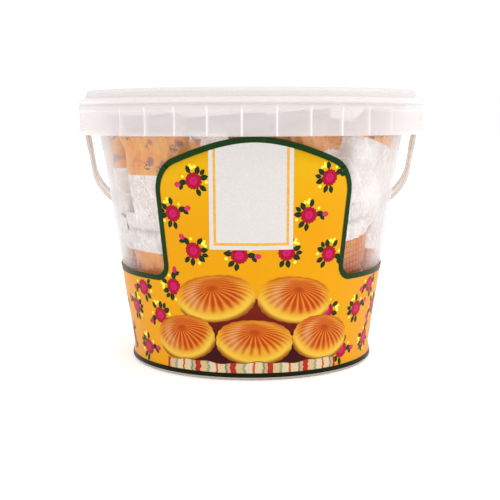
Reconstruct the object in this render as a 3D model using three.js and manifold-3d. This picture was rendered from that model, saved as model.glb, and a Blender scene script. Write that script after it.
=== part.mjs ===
// A round clear plastic pail with a press-fit lid and a swinging strap handle, wrapped in a printed
// label and filled with flow-wrapped filled shortbreads.  Millimetres, +Z up; the origin is the
// centre of the circle that the foot stands on, and the label's front arch faces -Y.

import * as THREE from 'three';
import { mergeVertices } from 'three/addons/utils/BufferGeometryUtils.js';
import Module from 'manifold-3d';

const wasm = await Module();
wasm.setup();

// ---- driving dimensions -------------------------------------------------------------------

const HEIGHT = 150;              // foot to the top of the lid
const ROUND = 64;                // facets round every turned piece
const GAP = 0.3;                 // room between pieces that touch

const WALL = 1.4;                // moulded wall of the pail and its lid
const FOOT_RADIUS = 68.3;        // outside of the flared foot
const FOOT_HEIGHT = 8;           // where the foot runs out into the wall
const FOOT_WIDTH = 5;            // flat ring that the pail stands on
const WAIST_RADIUS = 67.0;       // outside of the wall just above the foot
const MOUTH_RADIUS = 85.0;       // outside of the wall at the collar's lower edge
const FLOOR_LIFT = 3;            // hollow under the floor

const COLLAR_RADIUS = 97.3;      // outside of the ribbed collar
const COLLAR_BOTTOM = 126.5;
const COLLAR_TOP = 145.4;        // the skirt stands up round the lid's lower edge
const COLLAR_LEDGE = 142.4;      // top of the flange between the wall and the skirt
const COLLAR_STEP = 0.5;         // lower skirt's set-back from the bands along its top
const COLLAR_BAND = 138.5;       // lower edge of those bands
const COLLAR_GROOVE = 0.7;       // groove between the two bands
const RIBS = 36;                 // webs between the wall and the collar
const RIB_TURN = 7.4;            // degrees that the first one stands off +X
const RIB_WIDTH = 1.3;
const EAR_FLAT = 93.4;           // sunken flats at each side, where the handle is pinned
const EAR_HALF_ANGLE = 8;        // degrees either side of the pin that are left without a rib

const RIM_TOP = 147.6;           // top of the wall, inside the lid's channel
const RIM_BEAD = 90.2;           // bead that the lid snaps over

const LID_RADIUS = 92.9;
const LID_BOTTOM = COLLAR_LEDGE + 0.4;
const LID_GROOVE = 0.35;         // each of the two steps that ring the lid
const LID_PANEL_TOP = 144.6;
const LID_PLUG_RADIUS = 85.4;    // the plug that fills the mouth

const LABEL_THICKNESS = 0.4;
const LABEL_BOTTOM = 1.6;
const LABEL_BAND_TOP = 54;       // upper edge of the band that runs all round
const LABEL_TURN = 1.2;          // degrees that the arches stand round from front and back
const ARCH_HALF_ANGLE = 38;      // degrees from the middle of an arch to its side
const ARCH_TOP = 126.4;
const ARCH_SLOPE = 0.45;         // fall that the bowed top tends to, away from its crest
const ARCH_CREST = 26;           // how broad the crest is
const SHOULDER_RADIUS = 20;      // rounding where the bowed top turns down into the side
const WINDOW_CORNER = 6;         // rounding where the side meets the band

const PIVOT_HEIGHT = 137;
const STRAP_WIDTH = 6.5;
const STRAP_THICKNESS = 2;
const STRAP_REACH_OUT = 94.7;    // middle of the strap from the pail's axis, at the pins
const STRAP_LEG = 46.5;          // straight length at each end
const STRAP_BOW = 63.1;          // how far the bow stands beyond the legs
const STRAP_REST = 46;           // degrees from straight down, resting on the back of the pail
const EYE_RADIUS = 5.6;
const PIN_RADIUS = 2.5;
const PIN_HEAD_RADIUS = 3.6;
const PIN_HEAD_THICKNESS = 1;
const PIN_ROOM = 0.4;            // room round and behind a pin

const PACK_LENGTH = 74;          // crimp to crimp
const PACK_WIDTH = 54;
const PACK_THICKNESS = 18;
const CRIMP = 9;                 // length of each flat end seal
const CRIMP_THICKNESS = 1;
// Packs against the wall: degrees round from the front, height of the middle, and tilt.
const LOW_PACKS = [
  [-48, 44, 0], [-3, 41, -9], [45, 47, 8], [90, 43, -14],
  [135, 45, 11], [178, 42, -6], [219, 46, 15], [260, 43, -10],
];
const HIGH_PACKS = [
  [-43, 101, 1], [16, 104, 15], [61, 99, 158], [104, 102, -8],
  [146, 100, 12], [189, 103, 172], [228, 101, -12], [266, 102, 7],
];
const PACKS_ON_TOP = 5;
const HEAP_TOP = 112;            // top of the heap's bare core
const CORE_INSET = 13;           // core's distance from the wall
const WALL_CLEARANCE = 0.6;      // packs to the wall, at their fullest

// ---- colours ------------------------------------------------------------------------------

const clearPlastic = new THREE.MeshStandardMaterial({
  color: 0xf1f1ef, roughness: 0.25, metalness: 0, transparent: true, opacity: 0.35,
});
const labelFilm = new THREE.MeshStandardMaterial({ color: 0xf5ab1c, roughness: 0.35, metalness: 0 });
const strapPlastic = new THREE.MeshStandardMaterial({ color: 0xd4cdc3, roughness: 0.45, metalness: 0 });
const wrapFilm = new THREE.MeshStandardMaterial({ color: 0xe9c9a4, roughness: 0.3, metalness: 0 });

// ---- helpers ------------------------------------------------------------------------------

const radians = THREE.MathUtils.degToRad;

// A closed three.js geometry as a solid that can be joined and cut.
function solid(geometry) {
  const bare = new THREE.BufferGeometry();
  bare.setAttribute('position', geometry.getAttribute('position').clone());
  if (geometry.index) bare.setIndex(geometry.index.clone());
  const merged = mergeVertices(bare, 1e-4);
  const whole = [];
  const index = merged.index.array;
  for (let i = 0; i < index.length; i += 3) {
    const [a, b, c] = [index[i], index[i + 1], index[i + 2]];
    if (a !== b && b !== c && c !== a) whole.push(a, b, c);
  }
  const mesh = new wasm.Mesh({
    numProp: 3,
    vertProperties: new Float32Array(merged.getAttribute('position').array),
    triVerts: new Uint32Array(whole),
  });
  return new wasm.Manifold(mesh);
}

// The solid's surface as a three.js geometry.
function surface(body) {
  const mesh = body.getMesh();
  const geometry = new THREE.BufferGeometry();
  geometry.setAttribute('position', new THREE.BufferAttribute(new Float32Array(mesh.vertProperties), 3));
  geometry.setIndex(new THREE.BufferAttribute(new Uint32Array(mesh.triVerts), 1));
  return geometry;
}

// A profile of [radius, height] pairs, closed on itself or on the axis, turned about +Z.
function turned(profile, segments = ROUND) {
  const points = profile.map(([r, z]) => new THREE.Vector2(r, z));
  const geometry = new THREE.LatheGeometry(points, segments);
  geometry.rotateX(Math.PI / 2);
  return geometry;
}

// A geometry turned about +Z so that its +X side faces the given angle.
function facing(geometry, degrees) {
  return geometry.rotateZ(radians(degrees));
}

function named(name, geometry, material) {
  const mesh = new THREE.Mesh(geometry, material);
  mesh.name = name;
  return mesh;
}

// Outside radius of the pail's wall: a straight taper, flared at the foot.
function wallRadius(z) {
  const taper = (MOUTH_RADIUS - WAIST_RADIUS) / (COLLAR_BOTTOM - FOOT_HEIGHT);
  if (z >= FOOT_HEIGHT) return WAIST_RADIUS + (z - FOOT_HEIGHT) * taper;
  return FOOT_RADIUS + (WAIST_RADIUS - FOOT_RADIUS) * (z / FOOT_HEIGHT);
}

// ---- the pail -----------------------------------------------------------------------------

// Foot ring, floor, tapered wall and the bead at the mouth, as one profile.
function pail() {
  const floorTop = FLOOR_LIFT + WALL;
  return turned([
    [0, FLOOR_LIFT],
    [FOOT_RADIUS - FOOT_WIDTH - 2, FLOOR_LIFT],
    [FOOT_RADIUS - FOOT_WIDTH, 0],
    [FOOT_RADIUS, 0],
    [wallRadius(FOOT_HEIGHT), FOOT_HEIGHT],
    [wallRadius(RIM_TOP - 4), RIM_TOP - 4],
    [RIM_BEAD, RIM_TOP - 2.6],
    [RIM_BEAD, RIM_TOP - 1.4],
    [RIM_BEAD - 1.2, RIM_TOP],
    [wallRadius(RIM_TOP) - WALL, RIM_TOP],
    [wallRadius(FOOT_HEIGHT) - WALL, FOOT_HEIGHT],
    [wallRadius(FOOT_HEIGHT) - WALL - 3, floorTop],
    [0, floorTop],
  ]);
}

// The collar's ring: a flange round the wall and, at its edge, a skirt that hangs below it and
// stands up above it, with two bands and a groove along its upper edge.
function collarRing() {
  const flangeBottom = COLLAR_LEDGE - WALL;
  const root = wallRadius(COLLAR_LEDGE) + GAP;
  const inside = COLLAR_RADIUS - WALL;
  const grooveBottom = COLLAR_LEDGE - 0.4;
  return solid(turned([
    [root, flangeBottom],
    [inside, flangeBottom],
    [inside, COLLAR_BOTTOM],
    [COLLAR_RADIUS - COLLAR_STEP, COLLAR_BOTTOM],
    [COLLAR_RADIUS - COLLAR_STEP, COLLAR_BAND],
    [COLLAR_RADIUS, COLLAR_BAND + COLLAR_STEP],
    [COLLAR_RADIUS, grooveBottom],
    [COLLAR_RADIUS - COLLAR_GROOVE, grooveBottom],
    [COLLAR_RADIUS - COLLAR_GROOVE, grooveBottom + 1.4],
    [COLLAR_RADIUS, grooveBottom + 1.4],
    [COLLAR_RADIUS, COLLAR_TOP - 0.5],
    [COLLAR_RADIUS - 0.5, COLLAR_TOP],
    [inside, COLLAR_TOP],
    [inside, COLLAR_LEDGE],
    [root, COLLAR_LEDGE],
    [root, flangeBottom],
  ]));
}

// One web that stiffens the skirt from within, drawn in the plane of radius and height.
function rib() {
  const bottom = COLLAR_BOTTOM + 1;
  const top = COLLAR_LEDGE - WALL / 2;
  const outer = COLLAR_RADIUS - WALL * 0.75;
  const shape = new THREE.Shape([
    new THREE.Vector2(wallRadius(bottom) + GAP, bottom),
    new THREE.Vector2(outer, bottom),
    new THREE.Vector2(outer, top),
    new THREE.Vector2(wallRadius(top) + GAP, top),
  ]);
  const web = new THREE.ExtrudeGeometry(shape, { depth: RIB_WIDTH, bevelEnabled: false });
  web.translate(0, 0, -RIB_WIDTH / 2);
  return web.rotateX(Math.PI / 2);
}

// What is taken off the collar at +X and put back as a flat wall with a hole for the pin.
function earFlat() {
  const height = COLLAR_LEDGE - COLLAR_BOTTOM;
  const middle = (COLLAR_LEDGE + COLLAR_BOTTOM) / 2;
  const chord = 2 * Math.sqrt((COLLAR_RADIUS - COLLAR_STEP) ** 2 - EAR_FLAT ** 2);
  const off = new THREE.BoxGeometry(10, chord + 10, 2 * height);
  off.translate(EAR_FLAT + 5, 0, middle);
  const plate = new THREE.BoxGeometry(WALL, chord, height);
  plate.translate(EAR_FLAT - WALL / 2, 0, middle);
  const hole = new THREE.CylinderGeometry(PIN_RADIUS + PIN_ROOM, PIN_RADIUS + PIN_ROOM, 6, 16);
  hole.rotateZ(Math.PI / 2);
  hole.translate(EAR_FLAT, 0, PIVOT_HEIGHT);
  return { off, plate, hole };
}

// The ring with its webs, flattened at each side where the handle is pinned.
function collar() {
  let body = collarRing();
  for (let i = 0; i < RIBS; i += 1) {
    const angle = RIB_TURN + (i * 360) / RIBS;
    const fromEar = Math.abs(((angle + 90) % 180) - 90);
    if (fromEar > EAR_HALF_ANGLE) body = body.add(solid(facing(rib(), angle)));
  }
  for (const side of [0, 180]) {
    const ear = earFlat();
    body = body
      .subtract(solid(facing(ear.off, side)))
      .add(solid(facing(ear.plate, side)))
      .subtract(solid(facing(ear.hole, side)));
  }
  return surface(body);
}

// ---- the lid ------------------------------------------------------------------------------

// A sunken panel, the plug that fills the mouth, and a stepped bead that caps the rim.
function lid() {
  const crown = LID_RADIUS - 2 * LID_GROOVE;
  const channel = crown - WALL;
  return turned([
    [0, LID_PANEL_TOP - WALL],
    [LID_PLUG_RADIUS, LID_PANEL_TOP - WALL],
    [LID_PLUG_RADIUS, HEIGHT - WALL],
    [channel, HEIGHT - WALL],
    [channel, LID_BOTTOM],
    [LID_RADIUS, LID_BOTTOM],
    [LID_RADIUS, HEIGHT - 3.1],
    [LID_RADIUS - LID_GROOVE, HEIGHT - 3.1],
    [LID_RADIUS - LID_GROOVE, HEIGHT - 1.6],
    [crown, HEIGHT - 1.6],
    [crown - 0.6, HEIGHT],
    [LID_PLUG_RADIUS - WALL, HEIGHT],
    [LID_PLUG_RADIUS - WALL - 0.6, LID_PANEL_TOP],
    [0, LID_PANEL_TOP],
  ]);
}

// ---- the label ----------------------------------------------------------------------------

// Points of a quarter-round or less, between two angles given in degrees.
function arc(middleX, middleY, radius, from, to, steps = 4) {
  return Array.from({ length: steps + 1 }, (_, i) => {
    const turn = radians(from + ((to - from) * i) / steps);
    return [middleX + radius * Math.cos(turn), middleY + radius * Math.sin(turn)];
  });
}

// Height of an arch's bowed top, at a distance along the wall from its middle.
function bowHeight(along) {
  return ARCH_TOP - ARCH_SLOPE * (Math.hypot(along, ARCH_CREST) - ARCH_CREST);
}

// Where the bow meets the rounded shoulder that ends upright at the arch's side, and the angle of
// the shoulder's radius there.  Each pass moves the meeting point by the bow's slope at it.
function shoulderStart(side) {
  let along = side - SHOULDER_RADIUS;
  let turn = 0;
  for (let pass = 0; pass < 12; pass += 1) {
    turn = Math.PI / 2 - Math.atan((ARCH_SLOPE * along) / Math.hypot(along, ARCH_CREST));
    along = side - SHOULDER_RADIUS * (1 - Math.cos(turn));
  }
  return { along, turn: THREE.MathUtils.radToDeg(turn) };
}

// Upper edge of the label over a quarter turn, as [degrees from the arch's middle, height]:
// a bowed top, a rounded shoulder, an upright side, a rounded window corner and the level band.
// Lengths along the wall are laid out in millimetres and then turned into degrees.
function labelEdge() {
  const shoulderWall = radians(wallRadius(ARCH_TOP - SHOULDER_RADIUS / 2));
  const cornerWall = radians(wallRadius(LABEL_BAND_TOP));
  const side = ARCH_HALF_ANGLE * shoulderWall;
  const meeting = shoulderStart(side);
  const bow = Array.from({ length: 8 }, (_, i) => {
    const along = (meeting.along * i) / 8;
    return [along, bowHeight(along)];
  });
  const shoulderMiddle = bowHeight(meeting.along) - SHOULDER_RADIUS * Math.sin(radians(meeting.turn));
  const shoulder = arc(side - SHOULDER_RADIUS, shoulderMiddle, SHOULDER_RADIUS, meeting.turn, 0, 5);
  const cornerMiddle = LABEL_BAND_TOP + WINDOW_CORNER;
  const corner = arc(WINDOW_CORNER, cornerMiddle, WINDOW_CORNER, 180, 270);
  const cornerEnd = ARCH_HALF_ANGLE + WINDOW_CORNER / cornerWall;
  const band = Array.from({ length: 9 }, (_, i) => (
    [cornerEnd + ((90 - cornerEnd) * (i + 1)) / 9, LABEL_BAND_TOP]
  ));
  return [
    ...[...bow, ...shoulder].map(([along, z]) => [along / shoulderWall, z]),
    ...corner.map(([along, z]) => [ARCH_HALF_ANGLE + 0.1 + along / cornerWall, z]),
    ...band,
  ];
}

// The whole upper edge: the quarter mirrored to a half, and the half repeated at the back.
function labelColumns() {
  const quarter = labelEdge();
  const half = [
    ...quarter.slice(1).reverse().map(([angle, top]) => [-angle, top]),
    ...quarter.slice(0, -1),
  ];
  return [0, 180].flatMap((turn) => (
    half.map(([angle, top]) => [angle + turn - 90 + LABEL_TURN, top])
  ));
}

// A thin sleeve that follows the wall from the foot up to the edge above.
function label() {
  const columns = labelColumns();
  const levels = (top) => [LABEL_BOTTOM, FOOT_HEIGHT, (FOOT_HEIGHT + top) / 2, top];
  const rows = levels(0).length;
  const positions = [];
  for (const [angle, top] of columns) {
    const [c, s] = [Math.cos(radians(angle)), Math.sin(radians(angle))];
    for (const lift of [GAP, GAP + LABEL_THICKNESS]) {
      for (const z of levels(top)) {
        const r = wallRadius(z) + lift;
        positions.push(r * c, r * s, z);
      }
    }
  }
  const index = [];
  const at = (column, side, row) => (column % columns.length) * rows * 2 + side * rows + row;
  const quad = (a, b, c, d) => index.push(a, b, c, a, c, d);
  for (let i = 0; i < columns.length; i += 1) {
    for (let row = 0; row < rows - 1; row += 1) {
      quad(at(i, 1, row), at(i + 1, 1, row), at(i + 1, 1, row + 1), at(i, 1, row + 1));
      quad(at(i, 0, row), at(i, 0, row + 1), at(i + 1, 0, row + 1), at(i + 1, 0, row));
    }
    quad(at(i, 0, 0), at(i + 1, 0, 0), at(i + 1, 1, 0), at(i, 1, 0));
    quad(at(i, 0, rows - 1), at(i, 1, rows - 1), at(i + 1, 1, rows - 1), at(i + 1, 0, rows - 1));
  }
  const geometry = new THREE.BufferGeometry();
  geometry.setAttribute('position', new THREE.Float32BufferAttribute(positions, 3));
  geometry.setIndex(index);
  return geometry;
}

// ---- the handle ---------------------------------------------------------------------------

// Side view of the strap in its own plane: straight legs and a half-oval bow, offset by `out`
// from the strap's middle.
function strapLine(out) {
  const line = [];
  const steps = 30;
  for (let i = 0; i <= steps; i += 1) {
    const turn = (Math.PI * i) / steps;
    line.push(new THREE.Vector2(
      (STRAP_REACH_OUT + out) * Math.cos(turn),
      STRAP_LEG + (STRAP_BOW + out) * Math.sin(turn),
    ));
  }
  const [start, end] = [1, -1].map((side) => new THREE.Vector2(side * (STRAP_REACH_OUT + out), 0));
  return [start, ...line, end];
}

function strap() {
  const shape = new THREE.Shape([
    ...strapLine(STRAP_THICKNESS / 2),
    ...strapLine(-STRAP_THICKNESS / 2).reverse(),
  ]);
  const band = new THREE.ExtrudeGeometry(shape, { depth: STRAP_WIDTH, bevelEnabled: false });
  return band.translate(0, 0, -STRAP_WIDTH / 2);
}

// A disc or pin lying along X between two distances from the pail's axis.
function disc(radius, inner, outer) {
  const cylinder = new THREE.CylinderGeometry(radius, radius, outer - inner, 16);
  cylinder.rotateZ(Math.PI / 2);
  return cylinder.translate((inner + outer) / 2, 0, 0);
}

// Strap, its round eyes, and the headed pins that reach through the collar's flats.
function handle() {
  const inner = STRAP_REACH_OUT - STRAP_THICKNESS / 2;
  const outer = STRAP_REACH_OUT + STRAP_THICKNESS / 2;
  const headOuter = EAR_FLAT - WALL - PIN_ROOM;
  let body = solid(strap());
  for (const side of [0, 180]) {
    body = body
      .add(solid(facing(disc(EYE_RADIUS, inner, outer), side)))
      .add(solid(facing(disc(PIN_RADIUS, headOuter - 0.5, outer + 0.6), side)))
      .add(solid(facing(disc(PIN_HEAD_RADIUS, headOuter - PIN_HEAD_THICKNESS, headOuter), side)));
  }
  return surface(body);
}

// ---- the contents -------------------------------------------------------------------------

// Even spread of numbers in 0..1 by the golden ratio, so that no two packs lie alike.
function spread(n) {
  const golden = (Math.sqrt(5) - 1) / 2;
  return (n * golden) % 1;
}

// A flow-wrapped pack, flat in X (width) and Y (length): a pillow between two crimps.
function pack() {
  const box = new THREE.BoxGeometry(PACK_WIDTH, PACK_LENGTH, 2, 3, 6, 1);
  const place = box.getAttribute('position');
  const sealStart = 1 - (2 * CRIMP) / PACK_LENGTH;
  const rows = [0, 0.5, sealStart, 1];
  for (let i = 0; i < place.count; i += 1) {
    const across = (2 * place.getX(i)) / PACK_WIDTH;
    const along = rows[Math.round((Math.abs(place.getY(i)) / PACK_LENGTH) * 6)];
    const swell = Math.max(0, 1 - (along / sealStart) ** 4) ** 0.5;
    const crown = 0.25 + 0.75 * (1 - Math.abs(across) ** 3) ** 0.5;
    const half = Math.max(CRIMP_THICKNESS / 2, (PACK_THICKNESS / 2) * swell * crown);
    place.setXYZ(
      i,
      place.getX(i) * (1 - 0.1 * swell),
      (Math.sign(place.getY(i)) * along * PACK_LENGTH) / 2,
      Math.sign(place.getZ(i)) * half,
    );
  }
  return box;
}

// A pack pressed against the inside of the wall: turned by `tilt` in the wall's surface, its
// middle at the given angle and height, and bent round the wall.
function packAgainstWall(angle, height, tilt) {
  const geometry = pack();
  const place = geometry.getAttribute('position');
  const [c, s] = [Math.cos(radians(tilt)), Math.sin(radians(tilt))];
  const middle = wallRadius(height) - WALL;
  for (let i = 0; i < place.count; i += 1) {
    const across = place.getX(i) * c - place.getY(i) * s;
    const z = height + place.getX(i) * s + place.getY(i) * c;
    const turn = radians(angle) + across / middle;
    const r = wallRadius(z) - WALL - WALL_CLEARANCE - PACK_THICKNESS / 2 + place.getZ(i);
    place.setXYZ(i, r * Math.cos(turn), r * Math.sin(turn), z);
  }
  return geometry;
}

// A pack lying on the heap, its middle off the axis by `out`.
function packOnTop(angle, out, height, tilt, lean) {
  const geometry = pack();
  geometry.rotateZ(radians(tilt));
  geometry.rotateY(radians(lean));
  geometry.translate(out, 0, height);
  return facing(geometry, angle);
}

// The room inside the pail that the packs keep to.
function room() {
  const bottom = FLOOR_LIFT + WALL + GAP;
  const inside = (z) => wallRadius(z) - WALL - GAP;
  const top = LID_PANEL_TOP - WALL - 2;
  return turned([
    [0, bottom],
    [inside(FOOT_HEIGHT) - 4, bottom],
    [inside(FOOT_HEIGHT), FOOT_HEIGHT + 1],
    [inside(top), top],
    [0, top],
  ], 48);
}

// The bare core under the packs.
function core() {
  const bottom = FLOOR_LIFT + WALL + 1;
  return turned([
    [0, bottom],
    [wallRadius(FOOT_HEIGHT) - WALL - CORE_INSET, bottom],
    [wallRadius(HEAP_TOP) - WALL - CORE_INSET, HEAP_TOP - 4],
    [0, HEAP_TOP],
  ], 24);
}

// Two rings of packs against the wall and a few lying on top, fused to the core.
function heap() {
  let body = solid(core());
  for (const [fromFront, height, tilt] of [...LOW_PACKS, ...HIGH_PACKS]) {
    body = body.add(solid(packAgainstWall(fromFront - 90, height, tilt)));
  }
  for (let i = 0; i < PACKS_ON_TOP; i += 1) {
    const draw = spread(40 + i);
    body = body.add(solid(packOnTop(i * 72 + 20, 34, 116, 70 + 40 * draw, 8)));
  }
  const pieces = body.intersect(solid(room())).decompose();
  pieces.sort((a, b) => b.volume() - a.volume());
  return surface(pieces[0]);
}

// ---- the whole ----------------------------------------------------------------------------

const tub = new THREE.Group();
tub.add(
  named('tub', pail(), clearPlastic),
  named('collar', collar(), clearPlastic),
  named('lid', lid(), clearPlastic),
  named('label', label(), labelFilm),
  named('contents', heap(), wrapFilm),
);

// The strap's plane hangs from the pins, leaning back until the bow rests on the label.
const bail = new THREE.Group();
bail.add(named('handle', handle(), strapPlastic));
bail.position.set(0, 0, PIVOT_HEIGHT);
bail.rotation.x = -radians(90 - STRAP_REST);

const whole = new THREE.Group();
whole.add(tub, bail);

export default whole;
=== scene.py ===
"""A clear round pail with a press-fit lid, a printed label, a strap handle and a heap of flow-wrapped
filled shortbreads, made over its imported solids.  Lengths are millimetres until a mesh takes them."""

import math

import bpy
import numpy as np
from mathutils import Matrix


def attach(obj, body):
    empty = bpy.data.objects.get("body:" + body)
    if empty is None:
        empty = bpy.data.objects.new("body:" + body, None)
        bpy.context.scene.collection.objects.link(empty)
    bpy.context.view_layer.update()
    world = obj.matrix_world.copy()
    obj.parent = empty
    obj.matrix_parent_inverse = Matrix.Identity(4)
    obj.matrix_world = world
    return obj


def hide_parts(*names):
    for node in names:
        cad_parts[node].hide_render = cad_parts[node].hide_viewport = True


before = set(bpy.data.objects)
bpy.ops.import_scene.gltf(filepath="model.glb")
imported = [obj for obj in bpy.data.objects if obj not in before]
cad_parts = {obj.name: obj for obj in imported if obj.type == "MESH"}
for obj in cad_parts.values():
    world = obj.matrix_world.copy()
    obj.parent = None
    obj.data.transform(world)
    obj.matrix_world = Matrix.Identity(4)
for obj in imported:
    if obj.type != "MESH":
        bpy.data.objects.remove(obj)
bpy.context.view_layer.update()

MM = 0.001
PI = math.pi

# ---- dimensions, as the source gives them -------------------------------------------------

HEIGHT, WALL, GAP = 150.0, 1.4, 0.3
FOOT_RADIUS, FOOT_HEIGHT, FOOT_WIDTH, FLOOR_LIFT = 68.3, 8.0, 5.0, 3.0
WAIST_RADIUS, MOUTH_RADIUS = 67.0, 85.0
COLLAR_RADIUS, COLLAR_BOTTOM, COLLAR_TOP, COLLAR_LEDGE = 97.3, 126.5, 145.4, 142.4
COLLAR_STEP, COLLAR_BAND, COLLAR_GROOVE = 0.5, 138.5, 0.7
RIBS, RIB_TURN, RIB_WIDTH = 36, 7.4, 1.3
EAR_FLAT, EAR_HALF_ANGLE, EAR_OPENING, EAR_RISE = 93.4, 8.0, 16.6, 2.2
RIM_TOP, RIM_BEAD = 147.6, 90.2
LID_RADIUS, LID_BOTTOM, LID_GROOVE = 92.9, 142.8, 0.35
LID_PANEL_TOP, LID_PLUG_RADIUS, LID_RING, LID_GATE = 144.6, 85.4, 78.0, 3.2
LABEL_BOTTOM, LABEL_BAND_TOP = 1.6, 54.0
LABEL_TURN, ARCH_HALF_ANGLE, ARCH_TOP, ARCH_SLOPE, ARCH_CREST = 1.2, 38.0, 126.4, 0.45, 26.0
SHOULDER_RADIUS, WINDOW_CORNER = 20.0, 6.0
PIVOT_HEIGHT, STRAP_WIDTH, STRAP_THICKNESS = 137.0, 6.5, 2.0
STRAP_REACH_OUT, STRAP_LEG, STRAP_BOW, STRAP_REST = 94.7, 46.5, 63.1, 46.0
EYE_RADIUS, PIN_RADIUS, PIN_HEAD_RADIUS, PIN_HEAD_THICKNESS, PIN_ROOM = 5.6, 2.5, 3.6, 1.0, 0.4
PACK_LENGTH, PACK_WIDTH, PACK_THICKNESS, CRIMP, CRIMP_THICKNESS = 74.0, 54.0, 18.0, 9.0, 1.0
PACK_BEND, PACK_PINKING = 6.4, 1.1
PACKS_ON_TOP, HEAP_TOP, CORE_INSET, WALL_CLEARANCE = 5, 112.0, 13.0, 0.6
# packs against the wall: degrees round from the front, height of the middle, tilt, and how far
# the print has slipped along the film
LOW_PACKS = [
    (-48, 48, 0, -11.5), (-3, 41, -9, 0), (45, 53, 8, -10), (86, 47, -9, -15),
    (135, 45, 11, -4), (178, 42, -6, 8), (219, 46, 15, 0), (265, 47, -6, -10),
]
HIGH_PACKS = [
    (-43, 101, 1, -3), (16, 104, 15, 2), (58, 106, 168, -44), (104, 102, -8, -3),
    (146, 100, 12, 5), (189, 103, 172, 0), (228, 101, -12, -5), (266, 102, 7, -5),
]


def wall_radius(z):
    """Outside of the wall: a straight taper from the waist up to the mouth, flared at the foot."""
    z = np.asarray(z, float)
    taper = WAIST_RADIUS + (z - FOOT_HEIGHT) * (MOUTH_RADIUS - WAIST_RADIUS) / (COLLAR_BOTTOM - FOOT_HEIGHT)
    flare = FOOT_RADIUS + (WAIST_RADIUS - FOOT_RADIUS) * z / FOOT_HEIGHT
    return np.where(z >= FOOT_HEIGHT, taper, flare)


def spread(n):
    """Even spread of numbers in 0..1 by the golden ratio."""
    return (n * (math.sqrt(5) - 1) / 2) % 1


# ---- camera, light and floor ----------------------------------------------------------------

CAMERA_PLACE = (-0.5, -574.5, 134.3)
CAMERA_PITCH, CAMERA_ROLL = 7.41, 0.13
SURROUND, SIDE_POWER, SUN_POWER = 0.77, 0.95, 0.8
FLOOR_REACH, FLOOR_DROP = 4.0, 0.0002


def stand_camera():
    """The camera at its place, 72 mm lens on a 36 mm sensor, pitched down and rolled a little."""
    camera = bpy.data.objects.new("camera", bpy.data.cameras.new("camera"))
    bpy.context.scene.collection.objects.link(camera)
    camera.data.lens, camera.data.sensor_width = 72.0, 36.0
    camera.data.clip_start, camera.data.clip_end = 0.01, 20.0
    camera.location = [c * MM for c in CAMERA_PLACE]
    camera.rotation_euler = (math.radians(90 - CAMERA_PITCH), math.radians(CAMERA_ROLL), 0)
    bpy.context.scene.camera = camera


def soft_lamp(name, place, target, size, power):
    """A square soft box in metres, aimed at a point."""
    lamp = bpy.data.lights.new(name, "AREA")
    lamp.size, lamp.energy = size, power
    lamp_object = bpy.data.objects.new(name, lamp)
    bpy.context.scene.collection.objects.link(lamp_object)
    place, target = np.array(place, float), np.array(target, float)
    lamp_object.location = place
    away = place - target
    flat = math.hypot(away[0], away[1])
    lamp_object.rotation_euler = (math.atan2(flat, away[2]), 0, math.atan2(away[1], away[0]) + PI / 2)


def light_studio():
    """A white surround, a soft box at each side, and a broad high light from in front."""
    world = bpy.data.worlds.new("studio")
    world.use_nodes = True
    nodes, links = world.node_tree.nodes, world.node_tree.links
    seen = nodes["Background"]
    seen.inputs["Strength"].default_value = 1.0
    seen.inputs["Color"].default_value = (1.0, 1.0, 1.0, 1.0)
    cast = nodes.new("ShaderNodeBackground")
    cast.inputs["Color"].default_value = (1.0, 1.0, 1.0, 1.0)
    cast.inputs["Strength"].default_value = SURROUND
    ray, choice = nodes.new("ShaderNodeLightPath"), nodes.new("ShaderNodeMixShader")
    links.new(ray.outputs["Is Camera Ray"], choice.inputs[0])
    links.new(cast.outputs[0], choice.inputs[1])
    links.new(seen.outputs[0], choice.inputs[2])
    links.new(choice.outputs[0], nodes["World Output"].inputs["Surface"])
    bpy.context.scene.world = world
    for name, x, share in [("right_box", 0.8, 0.85), ("left_box", -0.8, 0.3)]:
        soft_lamp(name, (x, -0.15, 0.35), (0, 0, 0.08), 0.7, SIDE_POWER * share)
    sun = bpy.data.lights.new("high_sun", "SUN")
    sun.energy, sun.angle = SUN_POWER, math.radians(70)
    sun_object = bpy.data.objects.new("high_sun", sun)
    sun_object.rotation_euler = (math.radians(18), math.radians(12), 0)
    bpy.context.scene.collection.objects.link(sun_object)
    scene = bpy.context.scene
    scene.view_settings.view_transform = "Standard"
    scene.view_settings.look = "None"
    scene.cycles.transparent_max_bounces = 32
    scene.cycles.max_bounces = 10


def lay_floor():
    """A broad white disc just under the foot."""
    f = Finish("floor_white")
    colour = f.mix(f.noise(f.object(), 3.0), (0.93, 0.93, 0.93, 1), (0.95, 0.95, 0.95, 1))
    white = f.principled(
        Base_Color=colour, Roughness=0.8, Emission_Color=(1, 1, 1, 1), Emission_Strength=0.38
    )
    mesh = bpy.data.meshes.new("floor")
    turn = np.arange(96) * 2 * PI / 96
    edge = FLOOR_REACH * np.stack([np.cos(turn), np.sin(turn), 0 * turn], 1) - [0, 0, FLOOR_DROP]
    mesh.from_pydata(edge.tolist(), [], [range(96)])
    mesh.materials.append(f.show(white))
    floor = bpy.data.objects.new("floor", mesh)
    bpy.context.scene.collection.objects.link(floor)


# ---- meshes ---------------------------------------------------------------------------------


def grid_faces(rows, columns, round_rows=False, round_columns=False):
    """Triangles over points numbered row by row; a round direction joins its last line to its first."""
    r = np.arange(rows if round_rows else rows - 1)[:, None]
    c = np.arange(columns if round_columns else columns - 1)[None, :]
    up, on = (r + 1) % rows, (c + 1) % columns
    a, b, d, e = r * columns + c, r * columns + on, up * columns + on, up * columns + c
    return np.stack([a + 0 * b, b, d, a + 0 * d, d, e], -1).reshape(-1, 3)


def fan(middle, ring, outward=True):
    """Triangles from one point to a closed ring of points."""
    on = np.roll(ring, -1)
    pair = (ring, on) if outward else (on, ring)
    return np.stack([np.full(len(ring), middle), *pair], -1)


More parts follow.
